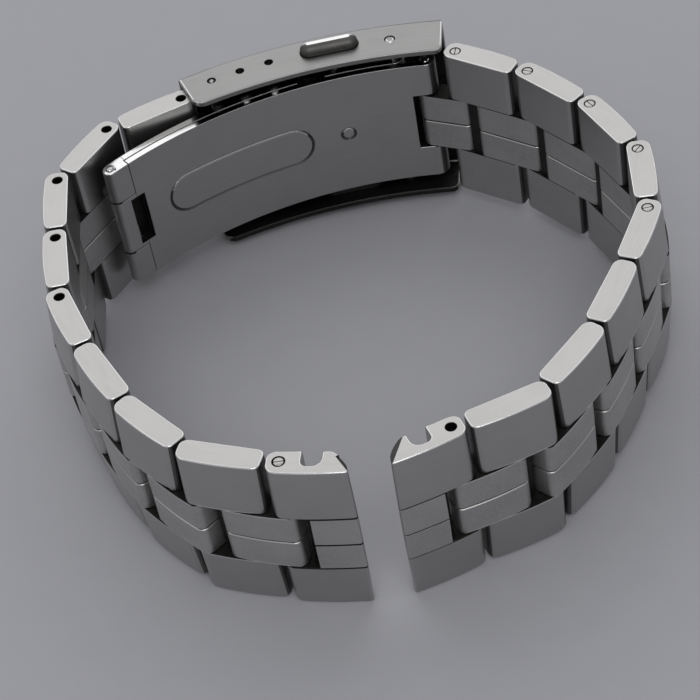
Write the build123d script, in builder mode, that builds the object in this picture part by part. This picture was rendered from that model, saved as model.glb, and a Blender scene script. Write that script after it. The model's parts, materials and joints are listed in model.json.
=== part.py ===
import os
from math import atan2, cos, degrees, hypot, radians, sin

from build123d import *

os.makedirs("parts", exist_ok=True)

# Sizes of the links
band_width = 20.0
link_pitch = 9.1
row_length = 8.7
row_width = 6.2
link_inner = 1.2
link_outer = 1.8
link_crown = 0.25
pin_back = 1.28
tongue_reach = 1.3
centre_start = 2.4
edge_break = 0.15
strip_break = 0.25
clevis_round = 1.05
tongue_round = 0.75

# Sizes of the link pins
pin_radius = 0.55
pin_recess = 0.9
pin_cover = 1.2
split_width = 0.22
split_depth = 1.0
pin_bevel = 0.08

# Sizes of the end links
end_length = 6.9
end_outer = 1.75
end_inner = 1.3
end_crown = 0.2
seat_radius = 1.0
seat_along = 3.15
seat_drop = 0.35
horn_land = 0.9
nose_back = 0.55
pocket_depth = 0.8
pocket_length = 1.5
pocket_width = 1.2
pocket_inset = 0.35

# Sizes of the clasp cover
cover_radius = 64.1
cover_roof = 0.9
cover_wall = 0.7
wall_depth = 5.6
cover_round = 0.6
wall_corner = 1.4
hole_radius = 0.52

# Sizes of the folding blades
blade_radius = 50.0
blade_plate = 0.8
fold_pin_radius = 0.6
knuckle_radius = 1.35
tip_pin_radius = 0.45
tip_knuckle = 0.85
tip_seam = 1.1
lug_pin_radius = 0.6
lug_radius = 1.2
notch_gap = 0.6
slot_margin = 0.45
slot_width = 1.4
mark_length = 18.2
mark_height = 5.4
mark_line = 0.3
mark_depth = 0.12
dot_radius = 0.95
ear_length = 2.4
ear_height = 2.2

# Sizes of the connectors and the spring bar
connector_outer = 1.3
right_connector_length = 3.85
bar_radius = 0.65
bar_bore = 0.48
bar_inset = 0.2
bar_tip_radius = 0.45
bar_tip_root = 2.6
bar_spring_bore = 0.3
bar_eye = 1.2

# Sizes of the push buttons
button_length = 6.6
button_width = 2.1
button_rise = 1.2
button_dome = 0.7
button_travel = 0.8
flange_plate = 0.7
flange_margin = 0.3
stem_radius = 0.45
stem_gap = 2.4
hook_length = 1.6
hook_width = 0.9
hook_plate = 0.14
sleeve_inner = 0.54
sleeve_outer = 0.76

# Clearances
side_play = 0.1
turn_play = 0.03
seat_play = 0.01
plate_play = 0.1
eye_play = 0.4
knuckle_play = 0.55
slide_play = 0.06
ear_play = 0.35
overrun = 1.0

# Places on the clasp, as lengths round its two arcs from straight up
cover_left_reach = -23.27
cover_right_reach = 7.61
hinge_reach = 1.45
button_reach = -5.71
hole_reaches = [-20.03, -16.5, -12.98]
first_pin_reach = -24.05
first_pin_drop = 1.6
tip_reach = -33.34
lug_reach = 4.36
slot_reach = -31.07
mark_reach = -18.46
dot_reach = -5.32
ear_reach = -8.38
blade_tilt = 1.0

# Headings of the pieces in plan, in degrees, from the clasp to the watch end
right_connector_heading = -24.2
right_headings = [-34.7, -49.2, -64.3, -92.2, -114.8, -119.0, -131.2, -160.7]
right_end_heading = -160.0
left_headings = [202.2, 233.6, 269.9, 273.8, 289.9, 297.3, 310.9, 339.7]
left_end_heading = 350.0
flush_count = 5

# Heights, measured from the lower face of the band
row_low = row_width
row_high = band_width - row_width
strip_split = band_width / 2
tongue_low = row_low + side_play
tongue_high = row_high - side_play
channel_low = -side_play
channel_high = band_width + side_play
cover_low = channel_low - cover_wall
cover_high = channel_high + cover_wall
blade_high = band_width - slide_play - flange_plate - hook_plate - button_travel
blade_low = band_width - blade_high
band_floor = button_rise - cover_low


def polar(centre, radius, angle):
    # A point at an angle from straight up, positive to the right
    return (centre[0] + radius * sin(radians(angle)), centre[1] + radius * cos(radians(angle)))


def step(point, heading, length):
    # The point one length further along a heading
    return (point[0] + length * cos(radians(heading)), point[1] + length * sin(radians(heading)))


def arc_turn(length, radius):
    # The angle, in degrees, that a length takes up round a radius
    return degrees(length / radius)


# Clasp points, measured from the arc centre of the cover
cover_centre = (0, 0)
cover_left_angle = arc_turn(cover_left_reach, cover_radius)
cover_right_angle = arc_turn(cover_right_reach, cover_radius)
hinge_angle = arc_turn(hinge_reach, cover_radius)
button_angle = arc_turn(button_reach, cover_radius)
hole_angles = [arc_turn(reach, cover_radius) for reach in hole_reaches]
first_pin_angle = arc_turn(first_pin_reach, cover_radius)
wall_radius = cover_radius - wall_depth
roof_radius = cover_radius - cover_roof
hinge_point = polar(cover_centre, roof_radius - knuckle_play - knuckle_radius, hinge_angle)
inner_face = blade_radius + blade_plate
middle_face = inner_face + plate_play
middle_back = middle_face + blade_plate
tip_angle = arc_turn(tip_reach, blade_radius)
lug_angle = arc_turn(lug_reach, blade_radius)
blade_centre = polar(hinge_point, -(middle_face + knuckle_radius), blade_tilt)
tip_radius = (inner_face + middle_face) / 2
tip_point = polar(blade_centre, tip_radius, tip_angle)
lug_point = polar(blade_centre, blade_radius + lug_radius, lug_angle)
bar_point = polar(cover_centre, roof_radius - eye_play - bar_eye, hole_angles[0])
first_left_pin = polar(cover_centre, roof_radius - first_pin_drop, first_pin_angle)
first_right_pin = step(lug_point, right_connector_heading, right_connector_length)
left_reach = (first_left_pin[0] - bar_point[0], first_left_pin[1] - bar_point[1])
left_connector_length = hypot(left_reach[0], left_reach[1])
left_connector_heading = degrees(atan2(left_reach[1], left_reach[0]))

# Pin points down both halves
right_pins = [first_right_pin]
for heading in right_headings:
    right_pins.append(step(right_pins[-1], heading, link_pitch))
left_pins = [first_left_pin]
for heading in left_headings:
    left_pins.append(step(left_pins[-1], heading, link_pitch))

# Outermost points, which put the origin under the middle of the bounding box
outline = [polar(cover_centre, cover_radius, 0)]
for pins, headings, side in ((right_pins, right_headings, 90), (left_pins, left_headings, -90)):
    for point, heading in zip(pins, headings):
        middle = step(point, heading, row_length / 2 - pin_back)
        outline.append(step(middle, heading + side, link_outer))
left_nose = step(left_pins[-1], left_end_heading, end_length)
outline.append(step(left_nose, left_end_heading - 90, end_outer - end_crown))
centre_x = (max(p[0] for p in outline) + min(p[0] for p in outline)) / 2
centre_y = (max(p[1] for p in outline) + min(p[1] for p in outline)) / 2


def clasp_plane(height):
    # The plan of the clasp at a height above the lower face of the band
    return Plane(origin=(-centre_x, -centre_y, band_floor + height))


def right_plane(point, heading):
    # X runs along a piece of the right half, and Y points out
    place = (point[0] - centre_x, point[1] - centre_y, band_floor)
    return Plane(origin=place, x_dir=(cos(radians(heading)), sin(radians(heading)), 0), z_dir=(0, 0, 1))


def left_plane(point, heading):
    # The same for the left half, turned over so that Y still points out
    place = (point[0] - centre_x, point[1] - centre_y, band_floor + band_width)
    return Plane(origin=place, x_dir=(cos(radians(heading)), sin(radians(heading)), 0), z_dir=(0, 0, -1))


def blade_plane(angle):
    # X runs round the blades, and Z points out through them at half the band's width
    point = polar(blade_centre, blade_radius, angle)
    place = (point[0] - centre_x, point[1] - centre_y, band_floor + strip_split)
    turn = radians(angle)
    return Plane(origin=place, x_dir=(cos(turn), -sin(turn), 0), z_dir=(sin(turn), cos(turn), 0))


def save(part, label):
    # Label one placed piece and write its file
    part.label = label
    export_step(part, f"parts/{label}.step")


def post(radius, low, high, plane=Plane.XY):
    # A round bar between two heights of a plane
    with BuildPart() as made:
        with BuildSketch(plane.offset(low)):
            Circle(radius)
        extrude(amount=high - low)
    return made.part


def block(back, front, low, high, bevel, back_round, front_round, inner, outer, crown):
    # One row or strip: rounded corners in plan, a crowned outer face and broken edges
    with BuildPart() as made:
        with BuildSketch(Plane.XY.offset(low)):
            with BuildLine():
                Polyline((front, outer - crown), (front, -inner), (back, -inner), (back, outer - crown))
                ThreePointArc((back, outer - crown), ((back + front) / 2, outer), (front, outer - crown))
            make_face()
        extrude(amount=high - low)
        fillet(made.edges().filter_by(Axis.Z).group_by(Axis.X)[0], radius=back_round)
        fillet(made.edges().filter_by(Axis.Z).group_by(Axis.X)[-1], radius=front_round)
        chamfer(made.faces().filter_by(Axis.Z).edges(), length=bevel)
    return made.part


def strips(back, front, outer):
    # The two strips that run down the middle of every piece
    with BuildPart() as made:
        for low, high in ((tongue_low, strip_split), (strip_split, tongue_high)):
            add(block(back, front, low, high, strip_break, tongue_round, tongue_round,
                      link_inner, outer, link_crown))
    return made.part


def build_link(hole_low, hole_high):
    # Two outer rows with the clevis holes, and two strips that go on as the tongue
    row_front = row_length - pin_back
    with BuildPart() as made:
        for low, high in ((0, row_low), (row_high, band_width)):
            add(block(-pin_back, row_front, low, high, edge_break, clevis_round, tongue_round,
                      link_inner, link_outer, link_crown))
        add(strips(centre_start, link_pitch + tongue_reach, link_outer))
        web_back = centre_start + tongue_round
        web_front = row_front - tongue_round
        web_inner = strip_break - link_inner
        web_outer = link_outer - link_crown - strip_break
        with BuildSketch(Plane.XY.offset(row_low - edge_break)):
            with Locations((web_back, web_inner)):
                Rectangle(web_front - web_back, web_outer - web_inner, align=Align.MIN)
        extrude(amount=row_high - row_low + 2 * edge_break)
        add(post(pin_radius + seat_play, hole_low, hole_high), mode=Mode.SUBTRACT)
        tongue_plane = Plane(origin=(link_pitch, 0, 0))
        add(post(pin_radius + turn_play, 0, band_width, tongue_plane), mode=Mode.SUBTRACT)
    return made.part


def build_pin(low, high, split):
    # A pin between two heights, with a cut across each end where it is split
    with BuildPart() as made:
        add(post(pin_radius, low, high))
        chamfer(made.faces().filter_by(Axis.Z).edges(), length=pin_bevel)
        if split:
            for base in (low, high - split_depth):
                with BuildSketch(Plane.XY.offset(base)):
                    Rectangle(split_width, 2 * pin_radius)
                extrude(amount=split_depth, mode=Mode.SUBTRACT)
    return made.part


open_link = build_link(0, band_width)
right_blind_link = build_link(0, band_width - pin_cover)
left_blind_link = build_link(pin_cover, band_width)
split_pin = build_pin(0, band_width, True)
deep_pin = build_pin(pin_recess, band_width - pin_recess, False)
right_blind_pin = build_pin(0, band_width - pin_cover, False)
left_blind_pin = build_pin(pin_cover, band_width, False)

# Right half: eight links and the pins that they carry
for index, heading in enumerate(right_headings):
    is_blind = index >= flush_count
    with BuildPart() as link:
        with Locations(right_plane(right_pins[index], heading)):
            add(right_blind_link if is_blind else open_link)
    save(link.part, f"link_r{index + 1}")
    with BuildPart() as pin:
        with Locations(right_plane(right_pins[index], heading)):
            add(right_blind_pin if is_blind else split_pin)
    save(pin.part, f"pin_r{index + 1}")

# Left half: the same, turned over
for index, heading in enumerate(left_headings):
    is_blind = index >= flush_count
    with BuildPart() as link:
        with Locations(left_plane(left_pins[index], heading)):
            add(left_blind_link if is_blind else open_link)
    save(link.part, f"link_l{index + 1}")
    with BuildPart() as pin:
        with Locations(left_plane(left_pins[index], heading)):
            add(left_blind_pin if is_blind else deep_pin)
    save(pin.part, f"pin_l{index + 1}")


def build_end_link():
    # A clevis and a nose, with the watch's spring-bar seat open to the inner face
    seat_back = seat_along - seat_radius
    seat_front = seat_along + seat_radius
    horn_front = seat_front + horn_land
    with BuildPart() as made:
        with BuildSketch():
            with BuildLine():
                ThreePointArc((-pin_back, end_outer - end_crown), (end_length / 2, end_outer),
                              (end_length, end_outer - end_crown))
                Polyline((-pin_back, end_outer - end_crown), (-pin_back, -end_inner), (seat_back, -end_inner),
                         (seat_back, -seat_drop))
                ThreePointArc((seat_back, -seat_drop), (seat_along, seat_radius - seat_drop),
                              (seat_front, -seat_drop))
                Polyline((seat_front, -seat_drop), (seat_front, -end_inner), (horn_front, -end_inner))
                ThreePointArc((horn_front, -end_inner), (end_length - nose_back, -seat_drop),
                              (end_length, end_outer - end_crown))
            make_face()
        extrude(amount=band_width)
        fillet(made.edges().filter_by(Axis.Z).group_by(Axis.X)[0], radius=clevis_round)
        chamfer(made.faces().filter_by(Axis.Z).edges(), length=edge_break)
        with BuildSketch(Plane.XY.offset(row_low)):
            with Locations((centre_start, 0)):
                Rectangle(centre_start + pin_back + overrun, 2 * (end_outer + overrun),
                          align=(Align.MAX, Align.CENTER))
        extrude(amount=row_high - row_low, mode=Mode.SUBTRACT)
        add(post(pin_radius + seat_play, 0, band_width), mode=Mode.SUBTRACT)
        for height, depth in ((row_low, edge_break), (strip_split, strip_break), (row_high, edge_break)):
            with BuildSketch(Plane.YZ.offset(centre_start)):
                with BuildLine():
                    Polyline((end_outer - end_crown - depth, height), (end_outer + depth, height - 2 * depth),
                             (end_outer + depth, height + 2 * depth), close=True)
                make_face()
            extrude(amount=end_length, mode=Mode.SUBTRACT)
        pocket_start = seat_front + pocket_inset
        for base in (0, band_width - pocket_depth):
            with BuildSketch(Plane.XY.offset(base)):
                with BuildLine():
                    Polyline((pocket_start, -seat_drop), (pocket_start + pocket_length, -seat_drop),
                             (pocket_start + pocket_length, pocket_width - seat_drop), close=True)
                make_face()
            extrude(amount=pocket_depth, mode=Mode.SUBTRACT)
    return made.part


end_link = build_end_link()
with BuildPart() as end_link_right:
    with Locations(right_plane(right_pins[-1], right_end_heading)):
        add(end_link)
save(end_link_right.part, "end_link_right")
with BuildPart() as end_link_left:
    with Locations(left_plane(left_pins[-1], left_end_heading)):
        add(end_link)
save(end_link_left.part, "end_link_left")
with BuildPart() as pin_end_right:
    with Locations(right_plane(right_pins[-1], right_end_heading)):
        add(deep_pin)
save(pin_end_right.part, "pin_end_right")
with BuildPart() as pin_end_left:
    with Locations(left_plane(left_pins[-1], left_end_heading)):
        add(split_pin)
save(pin_end_left.part, "pin_end_left")


def build_connector(length, eye_radius, bore_radius):
    # The two strips alone, with an eye at the clasp
    with BuildPart() as made:
        add(post(eye_radius, tongue_low, tongue_high))
        add(strips(0, length + tongue_reach, connector_outer))
        add(post(bore_radius, 0, band_width), mode=Mode.SUBTRACT)
        tongue_plane = Plane(origin=(length, 0, 0))
        add(post(pin_radius + turn_play, 0, band_width, tongue_plane), mode=Mode.SUBTRACT)
    return made.part


right_connector = build_connector(right_connector_length, lug_radius, lug_pin_radius + turn_play)
with BuildPart() as connector_right:
    with Locations(right_plane(lug_point, right_connector_heading)):
        add(right_connector)
save(connector_right.part, "connector_right")
left_connector = build_connector(left_connector_length, bar_eye, bar_radius + turn_play)
with BuildPart() as connector_left:
    with Locations(left_plane(bar_point, left_connector_heading)):
        add(left_connector)
save(connector_left.part, "connector_left")


def sector(centre, inner, outer, start, end, height):
    # The outline between two arcs, on the clasp's plan at a height
    with BuildSketch(clasp_plane(height)) as made:
        with BuildLine():
            for radius in (inner, outer):
                ThreePointArc(polar(centre, radius, start), polar(centre, radius, (start + end) / 2),
                              polar(centre, radius, end))
            Line(polar(centre, inner, start), polar(centre, outer, start))
            Line(polar(centre, inner, end), polar(centre, outer, end))
        make_face()
    return made.sketch


def curved_plate(centre, inner, outer, start, end, low, high):
    # A plate bent round an arc centre, between two heights
    with BuildPart() as made:
        extrude(sector(centre, inner, outer, start, end, low), amount=high - low)
    return made.part


def clasp_post(point, radius, low, high):
    # A round bar that stands at a point of the clasp
    with BuildPart() as made:
        with BuildSketch(clasp_plane(low)):
            with Locations(point):
                Circle(radius)
        extrude(amount=high - low)
    return made.part


# Clasp cover: a curved channel with the button windows, the adjusting holes and the hinge holes
button_point = polar(cover_centre, (wall_radius + roof_radius) / 2 + cover_wall, button_angle)
button_plane = right_plane(button_point, -button_angle)
with BuildPart() as clasp_cover:
    add(curved_plate(cover_centre, wall_radius, cover_radius, cover_left_angle, cover_right_angle,
                     cover_low, cover_high))
    wall_ends = clasp_cover.edges().filter_by(Axis.Z).sort_by(Axis.Y)
    fillet(wall_ends[0], radius=wall_corner)
    roof_edges = clasp_cover.edges().filter_by(GeomType.CIRCLE).sort_by(SortBy.LENGTH)[-2:]
    fillet(roof_edges, radius=cover_round)
    channel_turn = arc_turn(overrun, wall_radius)
    add(curved_plate(cover_centre, wall_radius - overrun, roof_radius, cover_left_angle - channel_turn,
                     cover_right_angle + channel_turn, channel_low, channel_high), mode=Mode.SUBTRACT)
    for angle in hole_angles:
        hole_point = polar(cover_centre, roof_radius - eye_play - bar_eye, angle)
        add(clasp_post(hole_point, hole_radius, cover_low, cover_high), mode=Mode.SUBTRACT)
    add(clasp_post(hinge_point, fold_pin_radius + seat_play, cover_low, cover_high), mode=Mode.SUBTRACT)
    with BuildSketch(button_plane.offset(cover_low)):
        SlotOverall(button_length + 2 * slide_play, button_width + 2 * slide_play)
    extrude(amount=cover_high - cover_low, mode=Mode.SUBTRACT)
save(clasp_cover.part, "clasp_cover")

# Hinge pin of the cover
with BuildPart() as hinge_pin:
    add(clasp_post(hinge_point, fold_pin_radius, cover_low, cover_high))
    chamfer(hinge_pin.faces().filter_by(Axis.Z).edges(), length=pin_bevel)
save(hinge_pin.part, "hinge_pin")

# Angles that part the plates from the knuckles, the notch and the ears
slot_angle = arc_turn(slot_reach, blade_radius)
mark_angle = arc_turn(mark_reach, blade_radius)
dot_angle = arc_turn(dot_reach, blade_radius)
ear_angle = arc_turn(ear_reach, blade_radius)
tip_end_angle = tip_angle + arc_turn(tip_knuckle + tip_seam, tip_radius)
notch_angle = lug_angle - arc_turn(lug_radius + notch_gap, blade_radius)
ear_start = ear_angle - arc_turn(ear_length / 2, inner_face)
ear_end = ear_angle + arc_turn(ear_length / 2, inner_face)
ear_turn = arc_turn(ear_play, inner_face)
outer_zones = ((blade_low, row_low - side_play), (row_high + side_play, blade_high))

# Middle blade: the hinge knuckle, a curved plate, and the two outer knuckles at the tip
with BuildPart() as middle_blade:
    add(curved_plate(blade_centre, middle_face, middle_back, tip_end_angle, blade_tilt, blade_low, blade_high))
    add(clasp_post(hinge_point, knuckle_radius, blade_low, blade_high))
    for low, high in outer_zones:
        add(curved_plate(blade_centre, middle_face, middle_back, tip_angle, tip_end_angle, low, high))
        add(clasp_post(tip_point, tip_knuckle, low, high))
    add(clasp_post(hinge_point, fold_pin_radius + turn_play, blade_low, blade_high), mode=Mode.SUBTRACT)
    add(clasp_post(tip_point, tip_pin_radius + seat_play, blade_low, blade_high), mode=Mode.SUBTRACT)
    for low, high in ((blade_low, blade_low + blade_plate + ear_play),
                      (blade_high - blade_plate - ear_play, blade_high)):
        add(curved_plate(blade_centre, inner_face, middle_back + plate_play, ear_start - ear_turn,
                         ear_end + ear_turn, low, high), mode=Mode.SUBTRACT)
save(middle_blade.part, "middle_blade")

# Line and dot pressed into the inner blade
with BuildPart() as blade_marks:
    add(curved_plate(blade_centre, blade_radius - overrun, blade_radius + mark_depth, tip_end_angle,
                     blade_tilt, blade_low, blade_high))
    with BuildSketch(blade_plane(mark_angle).offset(-mark_height)):
        SlotOverall(mark_length, mark_height)
        SlotOverall(mark_length - 2 * mark_line, mark_height - 2 * mark_line, mode=Mode.SUBTRACT)
    with BuildSketch(blade_plane(dot_angle).offset(-mark_height)):
        Circle(dot_radius)
        Circle(dot_radius - mark_line, mode=Mode.SUBTRACT)
    extrude(amount=2 * mark_height, mode=Mode.INTERSECT)

# Inner blade: the tip's middle knuckle, a slotted plate, two catch ears and the two end lugs
with BuildPart() as inner_blade:
    add(curved_plate(blade_centre, blade_radius, inner_face, tip_end_angle, notch_angle, blade_low, blade_high))
    add(curved_plate(blade_centre, blade_radius, inner_face, tip_angle, tip_end_angle, row_low, row_high))
    add(clasp_post(tip_point, tip_knuckle, row_low, row_high))
    for low, high in outer_zones:
        add(curved_plate(blade_centre, blade_radius, inner_face, notch_angle, lug_angle, low, high))
        add(clasp_post(lug_point, lug_radius, low, high))
    for low, high in ((blade_low, blade_low + blade_plate), (blade_high - blade_plate, blade_high)):
        add(curved_plate(blade_centre, inner_face, inner_face + ear_height, ear_start, ear_end, low, high))
    add(clasp_post(tip_point, tip_pin_radius + turn_play, blade_low, blade_high), mode=Mode.SUBTRACT)
    add(clasp_post(lug_point, lug_pin_radius + seat_play, blade_low, blade_high), mode=Mode.SUBTRACT)
    with BuildSketch(blade_plane(slot_angle).offset(-overrun)):
        Rectangle(slot_width, row_high - row_low - 2 * slot_margin)
    extrude(amount=blade_plate + 2 * overrun, mode=Mode.SUBTRACT)
    add(blade_marks.part, mode=Mode.SUBTRACT)
save(inner_blade.part, "inner_blade")

# Pins of the blade's tip and of its end lugs
with BuildPart() as tip_pin:
    add(clasp_post(tip_point, tip_pin_radius, blade_low, blade_high))
save(tip_pin.part, "tip_pin")
with BuildPart() as lug_pin:
    add(clasp_post(lug_point, lug_pin_radius, blade_low, blade_high))
save(lug_pin.part, "lug_pin")

# Spring bar: tube, two sprung tips and the spring between them
with BuildPart() as bar_tube:
    add(clasp_post(bar_point, bar_radius, bar_inset, band_width - bar_inset))
    add(clasp_post(bar_point, bar_bore, bar_inset, band_width - bar_inset), mode=Mode.SUBTRACT)
save(bar_tube.part, "bar_tube")
with BuildPart() as bar_tips:
    for low, high in ((cover_low, bar_tip_root), (band_width - bar_tip_root, cover_high)):
        add(clasp_post(bar_point, bar_tip_radius, low, high))
save(bar_tips.part, "bar_tips")
with BuildPart() as bar_spring:
    add(clasp_post(bar_point, bar_tip_radius, bar_tip_root, band_width - bar_tip_root))
    add(clasp_post(bar_point, bar_spring_bore, bar_tip_root, band_width - bar_tip_root), mode=Mode.SUBTRACT)
save(bar_spring.part, "bar_spring")


def build_button():
    # A domed cap, the flange that keeps it in the wall, a stem and a hook
    flange_high = channel_high - slide_play
    flange_low = flange_high - flange_plate
    flange_length = button_length + 2 * flange_margin
    with BuildPart() as made:
        with BuildSketch(Plane.XY.offset(flange_high)):
            SlotOverall(button_length, button_width)
        extrude(amount=cover_high + button_rise - flange_high)
        fillet(made.faces().sort_by(Axis.Z)[-1].edges(), radius=button_dome)
        with BuildSketch(Plane.XY.offset(flange_low)):
            SlotOverall(flange_length, button_width + 2 * flange_margin)
        extrude(amount=flange_plate)
        hook_low = flange_low - hook_plate
        with BuildSketch(Plane.XY.offset(hook_low)):
            with Locations((-(flange_length - hook_length) / 2, 0)):
                Rectangle(hook_length, hook_width)
        extrude(amount=hook_plate)
        add(post(stem_radius, strip_split + stem_gap / 2, flange_low))
    return made.part


# Push buttons on both walls, and the sleeve spring between them
push_button = build_button()
with BuildPart() as button_upper:
    with Locations(button_plane):
        add(push_button)
save(button_upper.part, "button_upper")
lower_plane = left_plane(button_point, -button_angle)
with BuildPart() as button_lower:
    with Locations(lower_plane):
        add(push_button)
save(button_lower.part, "button_lower")
sleeve_low = channel_low + slide_play + flange_plate + button_travel + side_play
with BuildPart() as button_spring:
    add(clasp_post(button_point, sleeve_outer, sleeve_low, band_width - sleeve_low))
    add(clasp_post(button_point, sleeve_inner, sleeve_low, band_width - sleeve_low), mode=Mode.SUBTRACT)
save(button_spring.part, "button_spring")
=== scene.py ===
import json
from math import atan2, cos, degrees, hypot, pi, radians, sin

import bmesh
import bpy
from mathutils import Matrix, Vector


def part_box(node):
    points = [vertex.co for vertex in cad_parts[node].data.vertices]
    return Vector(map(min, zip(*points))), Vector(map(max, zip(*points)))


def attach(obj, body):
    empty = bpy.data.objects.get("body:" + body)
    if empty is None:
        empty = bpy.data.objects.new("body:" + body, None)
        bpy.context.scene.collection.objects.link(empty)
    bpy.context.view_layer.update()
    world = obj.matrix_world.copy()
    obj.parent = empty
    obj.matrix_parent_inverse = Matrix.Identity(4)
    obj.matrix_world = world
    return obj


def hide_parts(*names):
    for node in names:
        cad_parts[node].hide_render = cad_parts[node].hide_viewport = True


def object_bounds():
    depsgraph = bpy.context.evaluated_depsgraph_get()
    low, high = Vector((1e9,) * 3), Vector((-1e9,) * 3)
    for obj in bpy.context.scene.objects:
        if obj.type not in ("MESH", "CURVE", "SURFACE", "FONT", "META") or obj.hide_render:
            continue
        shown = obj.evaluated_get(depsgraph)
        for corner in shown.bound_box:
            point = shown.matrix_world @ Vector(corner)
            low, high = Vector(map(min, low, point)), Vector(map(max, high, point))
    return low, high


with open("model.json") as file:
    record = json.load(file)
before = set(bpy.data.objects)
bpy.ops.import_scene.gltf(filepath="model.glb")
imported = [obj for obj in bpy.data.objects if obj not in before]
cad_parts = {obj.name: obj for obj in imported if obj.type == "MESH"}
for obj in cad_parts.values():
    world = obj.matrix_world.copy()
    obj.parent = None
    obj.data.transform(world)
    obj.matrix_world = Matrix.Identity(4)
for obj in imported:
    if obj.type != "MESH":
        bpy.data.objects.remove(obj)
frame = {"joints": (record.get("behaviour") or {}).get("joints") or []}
cad_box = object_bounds()

# Every size below is in millimetres, and the pieces are scaled to metres when they are placed
MILLIMETRE = 0.001

# Small values that all pieces share, and the angles in degrees that count as an edge
overrun = 1.0
sink = 0.1
corner_play = 0.01
match_range = 0.001
merge_range = 0.0001
cut_range = 0.00001
bend_step = 0.55
bevel_angle = 50
sharp_angle = 55
dark_border_angle = 20
grain_shift = (17.3, 5.1, 3.7)

# Shares of a face's normal along an axis, above which the face counts as looking that way
facing = 0.9
sloping = 0.7
leaning = 0.5
corner_share = 0.25
rim_share = 0.95
crest_share = 0.99
crest_side = 0.05
lit_share = 0.3

# Sizes of the links
band_width = 20.0
link_pitch = 9.1
row_length = 8.7
row_width = 6.2
link_inner = 1.2
link_outer = 1.8
link_crown = 0.25
pin_back = 1.28
tongue_reach = 1.3
centre_start = 2.4
clevis_round = 1.05
tongue_round = 0.75
row_ease = 0.13
flush_ease = 0.12
vee_ease = 0.15
vee_slit = 0.18
baffle_back = 1.6
baffle_inner = 0.9
baffle_outer = 0.5
side_play = 0.1
width_crown = 0.25
strip_rise = 0.05
crown_cuts = 7
hole_play = 0.03

# Sizes of the pins
pin_radius = 0.55
pin_recess = 0.9
pin_cover = 1.2
split_width = 0.1
split_depth = 0.9
pin_bevel = 0.07
rim_flare = 0.04
ring_gap = 0.035
wide_ring_gap = 0.14
ring_depth = 0.5
slit_turns = (20, 115, 95, 50, 30, 0, 0, 0)
end_slit_turn = 80

# Sizes of the end links
end_length = 6.9
end_crown = 0.2
nose_round = 0.9
nose_tip = 0.35
nose_bulge = 0.3
end_edge_drop = 0.2
end_dome = 0.75
# Each facet, painted as shade, has the start and end of its line, how far back it goes, and its tilt
right_facet = ((4.5, -1.25), (6.75, 1.35), -3.0, 35)
left_facet = ((5.45, -0.6), (6.63, 1.01), 0.0, 50)
seat_ease = 0.22
end_outer = 1.75
end_inner = 1.3
seat_radius = 1.0
seat_along = 3.15
seat_drop = 0.35
horn_land = 0.9
nose_back = 0.55
seat_corner = 0.6
seam_depth = 0.3
seam_half = 0.09
seam_lip = 0.07
dome_cuts = (1.2, 2.6, 4.4, 8.1, 11.9, 15.6, 17.4, 18.8)
end_cuts = (-0.2, 0.7, 1.6, 2.6, 3.6, 4.6, 5.5, 6.2)
skin_margin = 0.3
baffle_reach = 0.3

# Sizes of the clasp
cover_radius = 64.1
cover_roof = 0.9
cover_wall = 0.7
wall_depth = 5.6
cover_round = 0.6
wall_corner = 1.4
wall_end_round = 1.0
cover_end_round = 0.7
cover_start_round = 0.3
cover_ease = 0.18
roof_relief = 0.3
relief_length = 1.0
window_play = 0.1
hole_radius = 0.52
blade_radius = 50.0
blade_plate = 0.8
blade_gap = 0.1
blade_ease = 0.06
knuckle_ease = 0.1
blade_low = 1.7
blade_tilt = 1.0
fold_pin_radius = 0.6
knuckle_radius = 1.35
knuckle_play = 0.55
tip_pin_radius = 0.45
tip_knuckle = 0.85
tip_seam = 1.1
tip_gap = 0.05
lug_radius = 1.2
notch_gap = 0.6
slot_margin = 0.45
slot_width = 1.9
slot_shift = 0.25
mark_length = 18.2
mark_height = 5.4
mark_line = 0.36
mark_lip = 0.05
slot_recess = 0.5
mark_depth = 0.12
dot_radius = 0.95
ear_length = 2.4
ear_height = 2.2
ear_play = 0.35
connector_outer = 1.3
bar_radius = 0.65
bar_eye = 1.2
eye_play = 0.4
bar_tip_radius = 0.45
bar_bore = 0.48
bar_inset = 0.2
bar_tip_root = 2.6
tip_round = 0.2
coil_wire = 0.09
bar_turns = 30
button_turns = 14
turn_steps = 20
button_length = 6.6
button_width = 2.1
button_rise = 1.2
button_dome = 0.95
button_notch = 0.4
pin_dome = 0.25
dome_share = 0.3
flange_plate = 0.7
flange_margin = 0.3
slide_play = 0.06
button_travel = 0.8
stem_radius = 0.45
stem_gap = 2.4
hook_length = 1.6
hook_width = 0.9
hook_plate = 0.14
sleeve_outer = 0.76

# Places on the clasp, in degrees from straight up round its arc centres
cover_left_angle = -20.8
cover_right_angle = 6.8
hinge_angle = 1.3
tip_angle = -38.2
lug_angle = 5.0
slot_angle = -35.6
mark_angle = -21.15
dot_angle = -6.1
button_angle = -5.1
ear_angle = -9.6
hole_angles = (-17.9, -14.75, -11.6)
right_end_heading = -160.0
left_end_heading = 350.0
flush_count = 5

# Camera, fitted to the photograph
focal_pixels = 2353.4
image_pixels = 700
sensor_width = 36
camera_pitch = 45.96
camera_yaw = -4.26
camera_roll = -11.12
camera_place = (11.1, -177.88, 189.256)

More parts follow.
